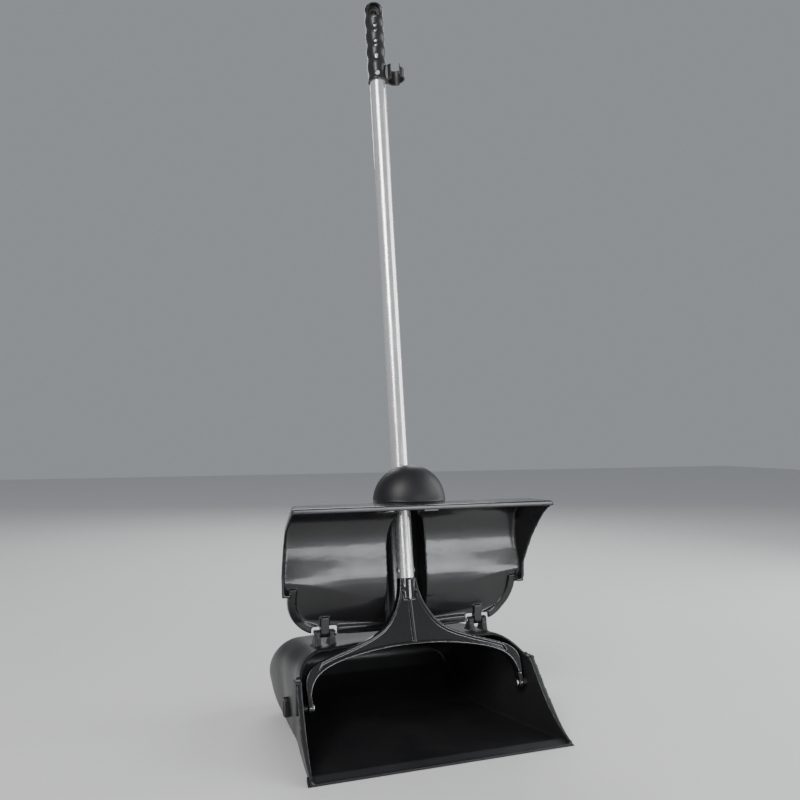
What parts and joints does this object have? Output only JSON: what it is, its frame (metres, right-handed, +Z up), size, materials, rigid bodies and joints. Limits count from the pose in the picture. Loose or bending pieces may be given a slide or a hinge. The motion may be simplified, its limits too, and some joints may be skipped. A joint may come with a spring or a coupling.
{
  "type": "upright lidded dust pan",
  "caption": "Upright dust pan with a long tubular handle whose yoke swings over the mouth of the pan and brings the hinged hooded lid down with it.",
  "frame": {"origin": "bottom centre of the bounding box with the lid open and the handle leaning back", "axes": "+Z up; the mouth of the pan faces -Y and the bin is towards +Y; X runs across the pan"},
  "size_m": [0.3226, 0.2827, 0.9127],
  "materials": {
    "pan_plastic": "satin moulded black polypropylene",
    "lid_plastic": "semi-gloss moulded black polypropylene",
    "lip_plastic": "smooth black",
    "yoke_plastic": "glossy black nylon",
    "fitting_plastic": "fine grain black",
    "grip_plastic": "soft-touch black",
    "pole_metal": "drawn, satin anodised",
    "bare_steel": "zinc plated"
  },
  "bodies": {
    "pan": {"pan_shell": "pan_plastic", "lip_strip": "lip_plastic", "pivot_pin_right": "bare_steel", "pivot_pin_left": "bare_steel", "pivot_spacer_right": "fitting_plastic", "pivot_spacer_left": "fitting_plastic", "pivot_cap_right": "fitting_plastic", "pivot_cap_left": "fitting_plastic", "side_bumper_right": "fitting_plastic", "side_bumper_left": "fitting_plastic", "hinge_pin_right": "bare_steel", "hinge_pin_left": "bare_steel"},
    "handle": {"yoke": "yoke_plastic", "yoke_rivet": "bare_steel", "tube": "pole_metal", "tube_plug": "fitting_plastic", "grip": "grip_plastic", "grip_screw": "bare_steel", "broom_clip": "grip_plastic"},
    "lid": {"lid_shell": "lid_plastic"}
  },
  "joints": [
    {"name": "pole_pivot", "type": "hinge", "parent": "pan", "child": "handle", "pos_m": [0, -0.061, 0.054], "axis": [1, 0, 0], "range_deg": [0, 65]},
    {"name": "lid_hinge", "type": "hinge", "parent": "pan", "child": "lid", "pos_m": [0, -0.011, 0.1225], "axis": [1, 0, 0], "range_deg": [0, 84.5]}
  ],
  "couplings": [
    {"joint": "lid_hinge", "follows": "pole_pivot", "ratio": 1.3}
  ]
}
